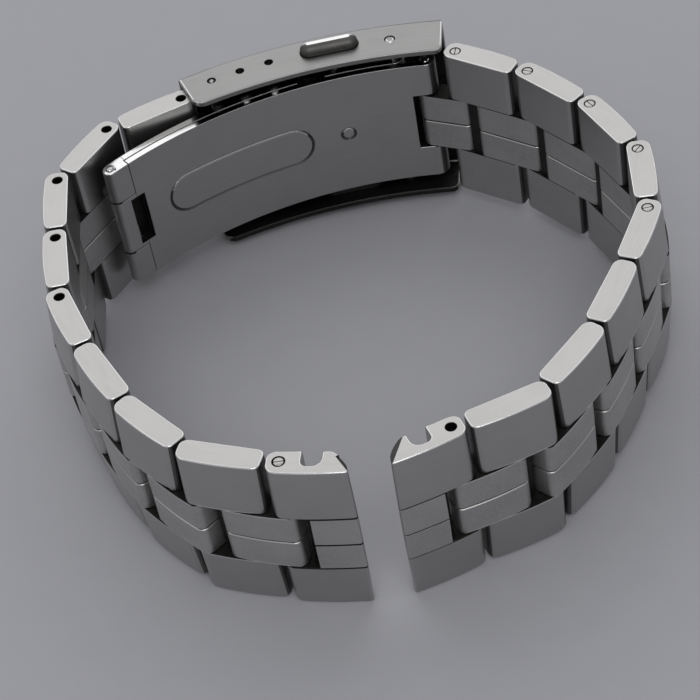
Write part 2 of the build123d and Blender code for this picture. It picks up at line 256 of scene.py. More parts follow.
# Studio, in metres and watts: each lamp has its place, width, height and power
lamps = {"back soft box": ((-0.03, 0.36, 0.38), 0.6, 0.5, 0.82),
         "side soft box": ((-0.42, -0.1, 0.34), 0.22, 0.22, 0.1),
         "front soft box": ((0.05, -0.43, 0.61), 0.45, 0.35, 1.3)}
sky_colour = (0.97, 0.98, 1.0, 1.0)
sky_strength = 0.5
clip_start = 0.01
floor_half = 1.5
floor_contact = 0.9
floor_roughness = 0.75
floor_grain = 260.0
floor_dark = (0.362, 0.362, 0.388)
floor_light = (0.378, 0.378, 0.404)

# Steel: each pattern has its scale, detail and roughness, and the part of its range that is kept
steel_patterns = {"Lines": ((0.35, 7.0, 7.0), 4.0, 0.6, 0.3, 0.7),
                  "Clouds": ((0.22, 0.3, 0.3), 2.0, 0.5, 0.35, 0.65),
                  "Scratches": ((0.5, 13.0, 13.0), 1.0, 0.5, 0.66, 0.72),
                  "Frost": ((5.5, 5.5, 5.5), 2.0, 0.6, 0.35, 0.65)}
relief_depth = 0.00003


# Shared steel finishes

def add_node(tree, kind, **fields):
    made = tree.nodes.new(kind)
    for name, value in fields.items():
        setattr(made, name, value)
    return made


def stretched_noise(tree, place, scale, detail, rough):
    # Noise that can be drawn out along the piece, like the lines of a brush
    mapping = add_node(tree, "ShaderNodeMapping")
    mapping.inputs["Scale"].default_value = scale
    noise = add_node(tree, "ShaderNodeTexNoise")
    noise.inputs["Scale"].default_value = 1.0
    noise.inputs["Detail"].default_value = detail
    noise.inputs["Roughness"].default_value = rough
    tree.links.new(place, mapping.inputs["Vector"])
    tree.links.new(mapping.outputs["Vector"], noise.inputs["Vector"])
    return noise.outputs["Fac"]


def remapped(tree, value, low, high, to_low, to_high):
    node = add_node(tree, "ShaderNodeMapRange")
    for name, number in (("From Min", low), ("From Max", high), ("To Min", to_low), ("To Max", to_high)):
        node.inputs[name].default_value = number
    tree.links.new(value, node.inputs["Value"])
    return node.outputs["Result"]


def make_brush_group():
    # The patterns of the steel, from a place in millimetres
    group = bpy.data.node_groups.new("brushed steel", "ShaderNodeTree")
    group.interface.new_socket("Place", in_out="INPUT", socket_type="NodeSocketVector")
    for name in steel_patterns:
        group.interface.new_socket(name, in_out="OUTPUT", socket_type="NodeSocketFloat")
    place = add_node(group, "NodeGroupInput").outputs["Place"]
    end = add_node(group, "NodeGroupOutput")
    for name, (scale, detail, rough, low, high) in steel_patterns.items():
        noise = stretched_noise(group, place, scale, detail, rough)
        group.links.new(remapped(group, noise, low, high, 0.0, 1.0), end.inputs[name])
    return group


brush_group = make_brush_group()


def blended(tree, factor, first, second):
    mix = add_node(tree, "ShaderNodeMix", data_type="RGBA")
    tree.links.new(factor, mix.inputs["Factor"])
    for index, colour in ((6, first), (7, second)):
        if isinstance(colour, tuple):
            mix.inputs[index].default_value = (*colour, 1.0)
        else:
            tree.links.new(colour, mix.inputs[index])
    return mix.outputs[2]


def make_steel(name, dark, light, scratch, rough_low, rough_high, relief, pattern="Lines"):
    # Steel with brush lines or frost in its colour, roughness and surface
    steel = bpy.data.materials.new(name)
    steel.use_nodes = True
    tree = steel.node_tree
    shader = tree.nodes["Principled BSDF"]
    shader.inputs["Metallic"].default_value = 1.0
    place = add_node(tree, "ShaderNodeAttribute", attribute_name="grain")
    brush = add_node(tree, "ShaderNodeGroup", node_tree=brush_group)
    tree.links.new(place.outputs["Vector"], brush.inputs["Place"])
    tone = blended(tree, brush.outputs["Clouds"], dark, light)
    streaked = blended(tree, brush.outputs[pattern], tone, light)
    marked = blended(tree, brush.outputs["Scratches"], streaked, scratch)
    tree.links.new(marked, shader.inputs["Base Color"])
    roughness = remapped(tree, brush.outputs[pattern], 0.0, 1.0, rough_high, rough_low)
    tree.links.new(roughness, shader.inputs["Roughness"])
    bump = add_node(tree, "ShaderNodeBump")
    bump.inputs["Strength"].default_value = relief
    bump.inputs["Distance"].default_value = relief_depth
    tree.links.new(brush.outputs[pattern], bump.inputs["Height"])
    tree.links.new(bump.outputs["Normal"], shader.inputs["Normal"])
    return steel


link_satin = make_steel("link satin", (0.405, 0.398, 0.39), (0.435, 0.428, 0.42), (0.45, 0.44, 0.43),
                        0.3, 0.36, 0.08)
link_frost = make_steel("link frost", (0.4, 0.395, 0.39), (0.49, 0.485, 0.48), (0.5, 0.5, 0.49),
                        0.38, 0.5, 0.6, "Frost")
cover_satin = make_steel("cover satin", (0.26, 0.258, 0.255), (0.285, 0.282, 0.279), (0.3, 0.3, 0.29),
                         0.32, 0.38, 0.06)
blade_satin = make_steel("blade satin", (0.405, 0.402, 0.4), (0.435, 0.432, 0.43), (0.46, 0.455, 0.45),
                         0.33, 0.38, 0.05)
# The button's cap is painted nearly black: painted shade over its body, beside the painted highlight on its
# crest
button_steel = make_steel("button steel", (0.085, 0.083, 0.08), (0.12, 0.117, 0.113), (0.16, 0.16, 0.15),
                          0.42, 0.52, 0.03)
# Polished steel, painted much lighter than the satin as a highlight on rims, corners and crests
bright_steel = make_steel("polished edge and painted highlight", (0.68, 0.677, 0.673), (0.75, 0.746, 0.742), (0.6, 0.6, 0.6),
                          0.1, 0.2, 0.05)
# Painted deep shade: near-black steel for hole walls, gaps, ledges, seams and hidden walls, where shade falls
deep_shade_steel = make_steel("painted deep shade", (0.022, 0.021, 0.02), (0.04, 0.038, 0.036), (0.06, 0.06, 0.06),
                       0.45, 0.6, 0.3)
# Painted shade: dark steel for row ends, facets, slits, ring gaps, flanges and sides turned from the light
shade_steel = make_steel("shaded steel", (0.1, 0.098, 0.095), (0.13, 0.128, 0.125), (0.15, 0.15, 0.15),
                         0.4, 0.5, 0.1)
spring_wire = make_steel("spring wire", (0.45, 0.44, 0.43), (0.6, 0.59, 0.58), (0.7, 0.7, 0.69),
                         0.2, 0.3, 0.1)
# The finishes in slot order: satin, polished edge painted light as a highlight, painted deep shade, painted
# shade, frost
finishes = (link_satin, bright_steel, deep_shade_steel, shade_steel, link_frost)
SATIN, BRIGHT, DEEP_SHADE, SHADE, FROST = range(len(finishes))
skins = {"link_steel": link_satin, "cover_steel": cover_satin, "blade_steel": blade_satin,
         "button_steel": button_steel, "pin_steel": link_satin, "spring_steel": spring_wire}


# Ways of shaping a piece, in millimetres

def blank(back, front, inner, outer, low, high):
    # A plain block between six faces
    bm = bmesh.new()
    bmesh.ops.create_cube(bm, size=1.0)
    bmesh.ops.scale(bm, vec=(front - back, outer - inner, high - low), verts=bm.verts)
    middle = ((back + front) / 2, (inner + outer) / 2, (low + high) / 2)
    bmesh.ops.translate(bm, vec=middle, verts=bm.verts)
    return bm


def raised(corners, low, high):
    # An outline of a few corners, extruded between two heights
    bm = bmesh.new()
    face = bm.faces.new([bm.verts.new((x, y, low)) for x, y in corners])
    made = bmesh.ops.extrude_face_region(bm, geom=[face])
    moved = [item for item in made["geom"] if isinstance(item, bmesh.types.BMVert)]
    bmesh.ops.translate(bm, vec=(0, 0, high - low), verts=moved)
    bmesh.ops.recalc_face_normals(bm, faces=bm.faces)
    return bm


def near(value, target):
    return abs(value - target) < match_range


def painted(bm, material=DEEP_SHADE):
    # Gives every face one material, by default the painted deep shade
    for face in bm.faces:
        face.material_index = material
    return bm


def bevel(bm, edges, width, segments, material=-1):
    bmesh.ops.bevel(bm, geom=edges, offset=width, offset_type="OFFSET", segments=segments, profile=0.5,
                    affect="EDGES", material=material, clamp_overlap=False)


def round_upright(bm, x, y, radius, segments=8):
    # Rounds the upright edge at one corner of an outline
    edges = [e for e in bm.edges if all(near(v.co.x, x) and near(v.co.y, y) for v in e.verts)]
    bevel(bm, edges, radius, segments)


def ease_rim(bm, height, ease, segments=3, material=BRIGHT, side=None):
    # Rounds the edge all round a flat end face, or only where it meets one side; by default polished and
    # painted light as a highlight
    edges = [e for e in bm.edges if any(abs(f.normal.z) < leaning for f in e.link_faces)
             and all(near(v.co.z, height) and (side is None or near(v.co.y, side)) for v in e.verts)]
    bevel(bm, edges, ease, segments, material)


def cut_across(bm, axis, places):
    # Cuts the piece into slices, so that it can be bent or crowned
    normal = [0, 0, 0]
    normal[axis] = 1
    for place in places:
        point = [place * n for n in normal]
        bmesh.ops.bisect_plane(bm, geom=bm.verts[:] + bm.edges[:] + bm.faces[:], dist=cut_range,
                               plane_co=point, plane_no=normal)


def as_mesh(bm):
    bm.normal_update()
    mesh = bpy.data.meshes.new("work")
    bm.to_mesh(mesh)
    bm.free()
    for material in finishes:
        mesh.materials.append(material)
    return mesh


def joined(meshes):
    # Several closed shells in one mesh
    bm = bmesh.new()
    for mesh in meshes:
        bm.from_mesh(mesh)
    return as_mesh(bm)


def put(name, data):
    piece = bpy.data.objects.new(name, data)
    bpy.context.scene.collection.objects.link(piece)
    return piece


def settled(mesh, kind, **fields):
    # The mesh after a modifier
    piece = put("work", mesh)
    modifier = piece.modifiers.new(kind, kind)
    for name, value in fields.items():
        setattr(modifier, name, value)
    made = bpy.data.meshes.new_from_object(piece.evaluated_get(bpy.context.evaluated_depsgraph_get()))
    bpy.data.objects.remove(piece)
    return made


def combined(mesh, tool_mesh, operation="DIFFERENCE"):
    # Cuts, joins or keeps the common part of two closed meshes
    tool = put("tool", tool_mesh)
    made = settled(mesh, "BOOLEAN", operation=operation, solver="EXACT", object=tool)
    bpy.data.objects.remove(tool)
    return made


def eased(mesh, width, segments=2):
    # Breaks every sharp edge with a narrow round
    return settled(mesh, "BEVEL", width=width, segments=segments, limit_method="ANGLE",
                   angle_limit=radians(bevel_angle), material=SATIN, use_clamp_overlap=False)


def smoothed(mesh):
    # Smooth shading that keeps flat faces flat, and crisp borders round the faces painted as shade
    bm = bmesh.new()
    bm.from_mesh(mesh)
    for face in bm.faces:
        face.smooth = True
    for edge in bm.edges:
        sides = {face.material_index for face in edge.link_faces}
        limit = dark_border_angle if len(sides) > 1 and sides & {DEEP_SHADE, SHADE} else sharp_angle
        edge.smooth = edge.calc_face_angle(0) < radians(limit)
    bm.to_mesh(mesh)
    bm.free()
    return settled(mesh, "WEIGHTED_NORMAL", keep_sharp=True, weight=100)


def turned(profile, bands=(), centre=(0, 0), segments=40):
    # A round piece from the points of its profile, with a finish for some heights
    bm = bmesh.new()
    points = [bm.verts.new((radius, 0, height)) for radius, height in profile]
    for first, second in zip(points, points[1:]):
        bm.edges.new((first, second))
    bmesh.ops.spin(bm, geom=bm.verts[:] + bm.edges[:], cent=(0, 0, 0), axis=(0, 0, 1), angle=2 * pi,
                   steps=segments, use_merge=True)
    bmesh.ops.remove_doubles(bm, verts=bm.verts, dist=merge_range)
    bmesh.ops.recalc_face_normals(bm, faces=bm.faces)
    for low, high, material in bands:
        for face in bm.faces:
            if low < face.calc_center_median().z < high:
                face.material_index = material
    bmesh.ops.translate(bm, vec=(*centre, 0), verts=bm.verts)
    return as_mesh(bm)


def rod(radius, low, high, bands=(), centre=(0, 0)):
    return turned([(0, low), (radius, low), (radius, high), (0, high)], bands, centre)


def eased_rod(radius, low, high, low_ease, high_ease, bands=(), centre=(0, 0), bore=0):
    # A round bar, or a tube, with narrow bevels at its ends
    profile = [(bore, low), (radius - low_ease, low), (radius, low + low_ease), (radius, high - high_ease),
               (radius - high_ease, high), (bore, high)]
    return turned(profile + profile[:1] if bore else profile, bands, centre)


def stadium(length, width, low, high, centre=(0, 0), segments=40):
    # A bar with half-round ends
    bm = bmesh.new()
    bmesh.ops.create_circle(bm, cap_ends=True, radius=width / 2, segments=segments)
    bmesh.ops.rotate(bm, cent=(0, 0, 0), matrix=Matrix.Rotation(pi / segments, 3, "Z"), verts=bm.verts)
    for vert in bm.verts:
        vert.co.x += (length - width) / 2 * (1 if vert.co.x > 0 else -1)
    made = bmesh.ops.extrude_face_region(bm, geom=bm.faces[:])
    moved = [item for item in made["geom"] if isinstance(item, bmesh.types.BMVert)]
    bmesh.ops.translate(bm, vec=(0, 0, high - low), verts=moved)
    bmesh.ops.translate(bm, vec=(*centre, low), verts=bm.verts)
    bmesh.ops.recalc_face_normals(bm, faces=bm.faces)
    return bm


def set_grain(mesh, shift):
    # The place that the brush lines are read from
    count = len(mesh.vertices)
    values = [0.0] * (3 * count)
    if "grain" in mesh.attributes:
        mesh.attributes["grain"].data.foreach_get("vector", values)
    else:
        mesh.attributes.new("grain", "FLOAT_VECTOR", "POINT")
        mesh.vertices.foreach_get("co", values)
    for index in range(3):
        values[index::3] = [value + shift[index] for value in values[index::3]]
    mesh.attributes["grain"].data.foreach_set("vector", values)


def bent(mesh, centre, radius):
    # Bends a flat piece round an arc: x is the way along the arc and y the radius
    bm = bmesh.new()
    bm.from_mesh(mesh)
    start = min(v.co.x for v in bm.verts)
    end = max(v.co.x for v in bm.verts)
    count = int((end - start) / bend_step)
    cut_across(bm, 0, [start + (end - start) * index / count for index in range(1, count)])
    bmesh.ops.dissolve_degenerate(bm, dist=merge_range, edges=bm.edges)
    layer = bm.verts.layers.float_vector.new("grain")
    for vert in bm.verts:
        vert[layer] = vert.co.copy()
        turn = vert.co.x / radius
        vert.co = Vector((centre[0] + vert.co.y * sin(turn), centre[1] + vert.co.y * cos(turn), vert.co.z))
    bmesh.ops.recalc_face_normals(bm, faces=bm.faces)
    return as_mesh(bm)


def polar(centre, radius, angle):
    # A point at an angle from straight up, positive to the right
    return (centre[0] + radius * sin(radians(angle)), centre[1] + radius * cos(radians(angle)))


finished_count = 0


def fit_piece(name, mesh, place, body, slot, skin=None):
    # Puts one finished piece in its place on the object
    global finished_count
    finished_count += 1
    own = mesh.copy()
    own.name = "finished_" + name
    own.materials[SATIN] = skin or skins[slot]
    set_grain(own, [shift * finished_count for shift in grain_shift])
    own.transform(place)
    piece = put(own.name, own)
    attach(piece, body)
    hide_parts(name)


# Heights, measured from the lower face of the band
row_high = band_width - row_width
strip_split = band_width / 2
tongue_low = row_width + side_play
tongue_high = row_high - side_play
channel_low = -side_play
channel_high = band_width + side_play
cover_low = channel_low - cover_wall
cover_high = channel_high + cover_wall
blade_high = band_width - blade_low


# Links

def crown(bm, back, front, inner, outer, drop, lift):
    # Rounds the outer face along the piece, and lifts it by a height of its own across the band
    middle = (back + front) / 2
    half = (front - back) / 2
    for vert in bm.verts:
        share = (vert.co.y + inner) / (inner + outer)
        vert.co.y += share * (lift(vert.co.z) - drop * ((vert.co.x - middle) / half) ** 2)


def rounded_bar(back, front, low, high, inner, outer, back_round, front_round, lift, drop=link_crown,
                skin=SATIN):
    # One row or strip: rounded ends, a polished rim painted light at the band's edge, and painted shade on
    # the sides inside the band
    bm = blank(back, front, -inner, outer, low, high)
    for y in (-inner, outer):
        round_upright(bm, back, y, back_round)
        round_upright(bm, front, y, front_round)
    bm.normal_update()
    # Painted shade: sides inside the band get the deep shade, and the rows' end faces the dark shade
    for face in bm.faces:
        height = face.calc_center_median().z
        at_edge = near(height, 0) or near(height, band_width)
        face.material_index = DEEP_SHADE if abs(face.normal.z) > facing and not at_edge else skin
        if abs(face.normal.x) > sloping and skin == SATIN:
            face.material_index = SHADE
    # Painted highlight: the polished rims at the band's edge and on the outer face beside the strips are
    # painted light
    for height in (low, high):
        if near(height, 0) or near(height, band_width):
            ease_rim(bm, height, row_ease)
        elif abs(height - strip_split) < vee_slit:
            ease_rim(bm, height, vee_ease, 2, SATIN)
        else:
            ease_rim(bm, height, flush_ease, 2, BRIGHT, outer)
    first = back + back_round
    last = front - front_round
    cut_across(bm, 0, [first + (last - first) * index / crown_cuts for index in range(crown_cuts + 1)])
    crown(bm, back, front, inner, outer, drop, lift)
    return as_mesh(bm)


def row_lift(height):
    # The rows' outer faces rise towards the middle of the band
    near_edge = min(height, band_width - height)
    return width_crown * (2 * near_edge / row_width - 1)


def strip_lift(height):
    return width_crown + strip_rise


strip_zones = ((tongue_low, strip_split - vee_slit / 2), (strip_split + vee_slit / 2, tongue_high))


def hole_cutter(radius, low, high, flare_low, flare_high, centre=(0, 0), ring_high=False):
    # A round cutter with a widened mouth at either end, and a ring gap round a split pin; its walls carry
    # painted deep shade, its mouths and ring painted shade
    low_mouth = rim_flare if flare_low else 0
    high_mouth = rim_flare if flare_high else 0
    low_over = overrun if flare_low else 0
    high_over = overrun if flare_high else 0
    wide = radius + (ring_gap if ring_high else 0)
    shelf = high - (ring_depth if ring_high else rim_flare)
    profile = [(0, low - low_over), (radius + low_mouth, low - low_over), (radius + low_mouth, low),
               (radius, low + rim_flare), (radius, shelf)]
    if ring_high:
        profile += [(wide, shelf), (wide, high - rim_flare)]
    profile += [(wide + high_mouth, high), (wide + high_mouth, high + high_over), (0, high + high_over)]
    # Painted shade inside the hole
    bands = ((low + rim_flare, high - rim_flare, DEEP_SHADE), (low, low + rim_flare, SHADE),
             (shelf if ring_high else high - rim_flare, high, SHADE))
    return turned(profile, bands, centre)


def baffle(front):
    # A wall in front of the strips, clear of the sweep of the tongue before it; its callers paint it as deep
    # shade, standing in for the shade between the parts
    return blank(baffle_back, front, -baffle_inner, baffle_outer, row_width - row_ease, row_high + row_ease)


def make_link(is_open_low, is_open_high, has_ring=False):
    # Two rows with the clevis holes, two strips that go on as the tongue, and the web inside
    row_front = row_length - pin_back
    parts = []
    for low, high, is_open in ((0, row_width, is_open_low), (row_high, band_width, is_open_high)):
        row = rounded_bar(-pin_back, row_front, low, high, link_inner, link_outer, clevis_round, tongue_round,
                          row_lift)
        reaches_low = is_open or low > 0
        reaches_high = is_open or low == 0
        hole_low = low if reaches_low else low + pin_cover
        hole_high = high if reaches_high else high - pin_cover
        cutter = hole_cutter(pin_radius + hole_play, hole_low, hole_high, reaches_low, reaches_high,
                             ring_high=has_ring and low > 0)
        parts.append(combined(row, cutter))
    for low, high in strip_zones:
        strip = rounded_bar(centre_start, link_pitch + tongue_reach, low, high, link_inner, link_outer,
                            tongue_round, tongue_round, strip_lift, skin=FROST)
        cutter = hole_cutter(pin_radius + hole_play, low, high, True, True, (link_pitch, 0))
        parts.append(combined(strip, cutter))
    # The web and the baffle are painted as deep shade, standing in for the shade between the rows and strips
    web = blank(centre_start + tongue_round, row_front - tongue_round, vee_ease - link_inner,
                link_outer - link_crown - vee_ease, row_width - 2 * row_ease, row_high + 2 * row_ease)
    parts += [as_mesh(painted(bm)) for bm in (web, baffle(centre_start + tongue_round))]
    return smoothed(joined(parts))


def make_pin(low, high, is_split, is_deep):
    # A pin, its ends eased, with a cut across each end where it is split
    # Painted shade: the ends of a deep pin, inside its holes, get the deep shade, and the split cuts the dark
    # shade
    bands = ((low - overrun, low + overrun, DEEP_SHADE), (high - overrun, high + overrun, DEEP_SHADE)) if is_deep else ()
    pin = eased_rod(pin_radius, low, high, pin_bevel, pin_bevel, bands)
    if is_split:
        cuts = [painted(blank(-split_width / 2, split_width / 2, -overrun, overrun, base, top), SHADE)
                for base, top in ((low - overrun, low + split_depth), (high - split_depth, high + overrun))]
        pin = combined(pin, joined([as_mesh(cut) for cut in cuts]))
    return smoothed(pin)


ring_link = make_link(True, True, True)
open_link = make_link(True, True)
link_blind_high = make_link(True, False)
link_blind_low = make_link(False, True)
split_pin = make_pin(0, band_width, True, False)
deep_pin = make_pin(pin_recess, band_width - pin_recess, False, True)
pin_blind_high = make_pin(0, band_width - pin_cover - pin_bevel, False, False)
pin_blind_low = make_pin(pin_cover + pin_bevel, band_width, False, False)

# Places of the pieces, from the joints of the frame
joint_points = {joint["name"]: Vector(joint["pos_m"]) / MILLIMETRE for joint in frame["joints"]
                if joint.get("pos_m")}
band_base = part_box("link_r1")[0].z / MILLIMETRE


def right_place(point, heading):
    # X runs along a piece of the right half, and Y points out
    turn = Matrix.Rotation(radians(heading), 4, "Z")
    return Matrix.Scale(MILLIMETRE, 4) @ Matrix.Translation((point.x, point.y, band_base)) @ turn


def left_place(point, heading):
    # The same for the left half, turned over so that Y still points out
    turn = Matrix.Rotation(radians(heading), 4, "Z") @ Matrix.Rotation(pi, 4, "X")
    return Matrix.Scale(MILLIMETRE, 4) @ Matrix.Translation((point.x, point.y, band_base + band_width)) @ turn


def heading_to(point, target):
    return degrees(atan2(target.y - point.y, target.x - point.x))


link_count = len(slit_turns)


def half_points(end):
    # The pins of one half, from the clasp to the end link
    names = [f"hinge_{end[0]}{index + 1}" for index in range(link_count)] + ["hinge_end_link_" + end]
    return [joint_points[name] for name in names]


def fit_link(body, link, pin_name, pin, place, turn=0):
    # A link with its pin, which is turned round its own line
    fit_piece(body, link, place, body, "link_steel")
    fit_piece(pin_name, pin, place @ Matrix.Rotation(radians(turn), 4, "Z"), body, "pin_steel")


def fit_half(side, points, placing, links, pins, turns):
    # The links of one half with their pins
    for index, point in enumerate(points[:-1]):
        is_blind = index >= flush_count
        place = placing(point, heading_to(point, points[index + 1]))
        fit_link(f"link_{side}{index + 1}", links[is_blind], f"pin_{side}{index + 1}", pins[is_blind], place,
                 turns[index])


right_points = half_points("right")
left_points = half_points("left")
fit_half("r", right_points, right_place, (ring_link, link_blind_high), (split_pin, pin_blind_high),
         slit_turns)
fit_half("l", left_points, left_place, (open_link, link_blind_low), (deep_pin, pin_blind_low),
         (0,) * link_count)


# End links

def end_facet(height, side, start, end, back, steep):
    # A cutter for the slanting facet at the tip of the nose, on one edge of the band, painted as shade
    along_line = Vector((end[0] - start[0], end[1] - start[1], 0)).normalized()
    tilt = radians(steep)
    away = Vector((along_line.y * sin(tilt), -along_line.x * sin(tilt), side * cos(tilt)))
    turn = Matrix((away, along_line, away.cross(along_line))).transposed().to_4x4()
    facet = painted(blank(0, 4 * overrun, back, 6 * overrun, -3 * overrun, 3 * overrun), SHADE)
    facet.transform(Matrix.Translation((*start, height)) @ turn)
    return as_mesh(facet)


def make_end_link(has_ring, facet):
    # A nose with the spring-bar seat and its hook, and a clevis for the last tongue
    seat_back = seat_along - seat_radius
    seat_front = seat_along + seat_radius
    seat_top = seat_radius - seat_drop
    horn_front = seat_front + horn_land
    skin_low = seat_top + skin_margin
    outer = end_outer
    nose = (end_length - nose_back, -seat_drop)
    bm = raised([(-pin_back, outer), (-pin_back, -end_inner), (seat_back, -end_inner), (seat_back, seat_top),
                 (seat_front, seat_top), (seat_front, -end_inner), (horn_front, -end_inner), nose,
                 (end_length, outer)], 0, band_width)
    round_upright(bm, -pin_back, outer, clevis_round)
    round_upright(bm, -pin_back, -end_inner, clevis_round)
    round_upright(bm, seat_back, seat_top, seat_corner)
    round_upright(bm, seat_front, seat_top, seat_radius - corner_play)
    round_upright(bm, seat_front, -end_inner, seat_ease, 4)
    round_upright(bm, horn_front, -end_inner, seat_ease, 4)
    round_upright(bm, *nose, nose_round)
    round_upright(bm, end_length, outer, nose_tip, 5)
    bm.normal_update()
    # The rims at the band's edges are polished and painted light as a highlight
    for height in (0, band_width):
        ease_rim(bm, height, row_ease)
    seams = (row_width, strip_split, row_high)
    around = [seam + side for seam in seams for side in (-seam_half - seam_lip, -seam_half, 0, seam_half)]
    cut_across(bm, 2, (*around, *dome_cuts))
    cut_across(bm, 0, end_cuts)
    # Painted deep shade in the seam grooves; the skin between the seams is frosted
    for face in bm.faces:
        middle = face.calc_center_median()
        is_skin = middle.y > skin_low and abs(face.normal.z) < leaning
        if is_skin and row_width + seam_half < middle.z < row_high - seam_half - seam_lip:
            face.material_index = FROST
        for seam in seams:
            if is_skin and abs(middle.z - seam) < seam_half:
                face.material_index = DEEP_SHADE
    middle = (end_length - pin_back) / 2
    for vert in bm.verts:
        x, y, z = vert.co
        share = max(0, (y + end_inner) / (end_inner + outer))
        across = 1 - (2 * z / band_width - 1) ** 2
        fall = end_crown * ((x - middle) / (end_length - middle)) ** 2
        groove = 0
        if y > skin_low and any(near(z, seam) for seam in seams):
            groove = seam_depth
        elif y > skin_low and any(near(z, seam - seam_half) for seam in seams):
            groove = seam_lip / 2
        vert.co.y += share * (end_dome * across - end_edge_drop - fall) - groove
        past_seat = max(0, (x - seat_front) / (end_length - seat_front))
        vert.co.x += nose_bulge * across * past_seat - (groove if x > end_length - nose_tip else 0)
    link = as_mesh(bm)
    # The gap for the last tongue is painted as deep shade
    gap = blank(-pin_back - overrun, centre_start, -end_inner - overrun, outer + 2 * overrun, row_width,
                row_high)
    link = combined(link, as_mesh(painted(gap)))
    for height, side in ((0, -1), (band_width, 1)):
        link = combined(link, end_facet(height, side, *facet))
    link = combined(link, hole_cutter(pin_radius + hole_play, 0, band_width, True, True))
    # The ring gap round the split pin and the baffle are painted as deep shade
    if has_ring:
        link = combined(link, rod(pin_radius + wide_ring_gap, -overrun, ring_depth,
                                  ((-overrun, overrun, DEEP_SHADE),)))
    return smoothed(joined([link, as_mesh(painted(baffle(seat_back + baffle_reach)))]))


fit_link("end_link_right", make_end_link(False, right_facet), "pin_end_right", deep_pin,
         right_place(right_points[-1], right_end_heading))
fit_link("end_link_left", make_end_link(True, left_facet), "pin_end_left", split_pin,
         left_place(left_points[-1], left_end_heading), end_slit_turn)


# Connectors

def make_connector(length, eye_radius, bore_radius):
    # The two strips alone, with a round eye at the clasp
    parts = []
    for low, high in strip_zones:
        strip = rounded_bar(-eye_radius, length + tongue_reach, low, high, eye_radius, connector_outer,
                            eye_radius - corner_play, tongue_round, lambda height: 0, 0, FROST)
        cutters = joined([hole_cutter(bore_radius, low, high, True, True),
                          hole_cutter(pin_radius + hole_play, low, high, True, True, (length, 0))])
        parts.append(combined(strip, cutters))
    return smoothed(joined(parts))


lug_point = joint_points["hinge_connector_right"]
bar_point = joint_points["hinge_connector_left"]
for name, point, target, eye, bore, placing in (
        ("connector_right", lug_point, right_points[0], lug_radius, fold_pin_radius + hole_play, right_place),
        ("connector_left", bar_point, left_points[0], bar_eye, bar_radius + hole_play, left_place)):
    length = hypot(target.x - point.x, target.y - point.y)
    fit_piece(name, make_connector(length, eye, bore), placing(point, heading_to(point, target)), name,
              "link_steel")

# Points of the clasp, measured from the arc centre of the cover
wall_radius = cover_radius - wall_depth
roof_radius = cover_radius - cover_roof
hinge_point = polar((0, 0), roof_radius - knuckle_play - knuckle_radius, hinge_angle)
inner_face = blade_radius + blade_plate
middle_face = inner_face + blade_gap
middle_back = middle_face + blade_plate
blade_centre = polar(hinge_point, -(middle_face + knuckle_radius), blade_tilt)
tip_radius = (inner_face + middle_face) / 2
tip_point = polar(blade_centre, tip_radius, tip_angle)
lug_centre = polar(blade_centre, blade_radius + lug_radius, lug_angle)
window_radius = (wall_radius + roof_radius) / 2 + cover_wall
button_point = polar((0, 0), window_radius, button_angle)
hinge_world = joint_points["blade_fold"]
clasp_shift = (hinge_world.x - hinge_point[0], hinge_world.y - hinge_point[1])
clasp_place = Matrix.Scale(MILLIMETRE, 4) @ Matrix.Translation((*clasp_shift, band_base))


def along(angle, radius):
    # The way round an arc to an angle
    return radians(angle) * radius


# Clasp cover

def make_cover():
    # A flat block with rounded ends, hollowed to a channel, pierced, eased and then bent, with painted shade
    # inside and painted highlights on its upper end corners
    start = along(cover_left_angle, window_radius)
    end = along(cover_right_angle, window_radius)
    side = raised([(start, cover_radius), (start, wall_radius), (end, wall_radius), (end, cover_radius)],
                  cover_low - overrun, cover_high + overrun)
    round_upright(side, start, wall_radius, wall_corner)
    round_upright(side, end, wall_radius, wall_end_round)
    round_upright(side, end, cover_radius, cover_end_round)
    round_upright(side, start, cover_radius, cover_start_round, 4)
    block = blank(start - overrun, end + overrun, wall_radius - overrun, cover_radius, cover_low, cover_high)
    edges = [e for e in block.edges if all(near(v.co.y, cover_radius) for v in e.verts)
             and not near(e.verts[0].co.x, e.verts[1].co.x)]
    bevel(block, edges, cover_round, 6)
    cover = combined(as_mesh(block), as_mesh(side), "INTERSECT")
    channel = blank(start - 2 * overrun, end + 2 * overrun, wall_radius - 2 * overrun, roof_radius,
                    channel_low, channel_high)
    relief = blank(start - 2 * overrun, start + relief_length, wall_radius, roof_radius + roof_relief,
                   channel_low, channel_high)
    # Painted shade: the channel and relief walls get the deep shade
    for hollow in (channel, relief):
        cover = combined(cover, as_mesh(painted(hollow)))
    cover = eased(cover, cover_ease, 3)
    # Painted highlight on the upper wall's end corners, and painted deep shade along the lower wall's rim
    for face in cover.polygons:
        is_upper = face.center.z > strip_split
        at_lower_rim = not is_upper and face.center.y < wall_radius + 2 * cover_ease
        is_corner = is_upper and abs(face.normal.x) > corner_share and face.normal.z > corner_share
        if face.material_index == SATIN and is_corner:
            face.material_index = BRIGHT
        if face.material_index == SATIN and at_lower_rim and abs(face.normal.z) < rim_share:
            face.material_index = DEEP_SHADE
    base = cover_low - overrun
    top = cover_high + overrun
    cutters = [as_mesh(stadium(button_length + 2 * window_play, button_width + 2 * window_play, base, top,
                               (along(button_angle, window_radius), window_radius)))]
    hole_y = roof_radius - eye_play - bar_eye
    for angle in hole_angles:
        cutters.append(rod(hole_radius, base, top, ((cover_low, cover_high, DEEP_SHADE),),
                           (along(angle, window_radius), hole_y)))
    pin_y = roof_radius - knuckle_play - knuckle_radius
    cutters.append(rod(fold_pin_radius + hole_play, base, top, (),
                       (along(hinge_angle, window_radius), pin_y)))
    return smoothed(bent(combined(cover, joined(cutters)), (0, 0), window_radius))


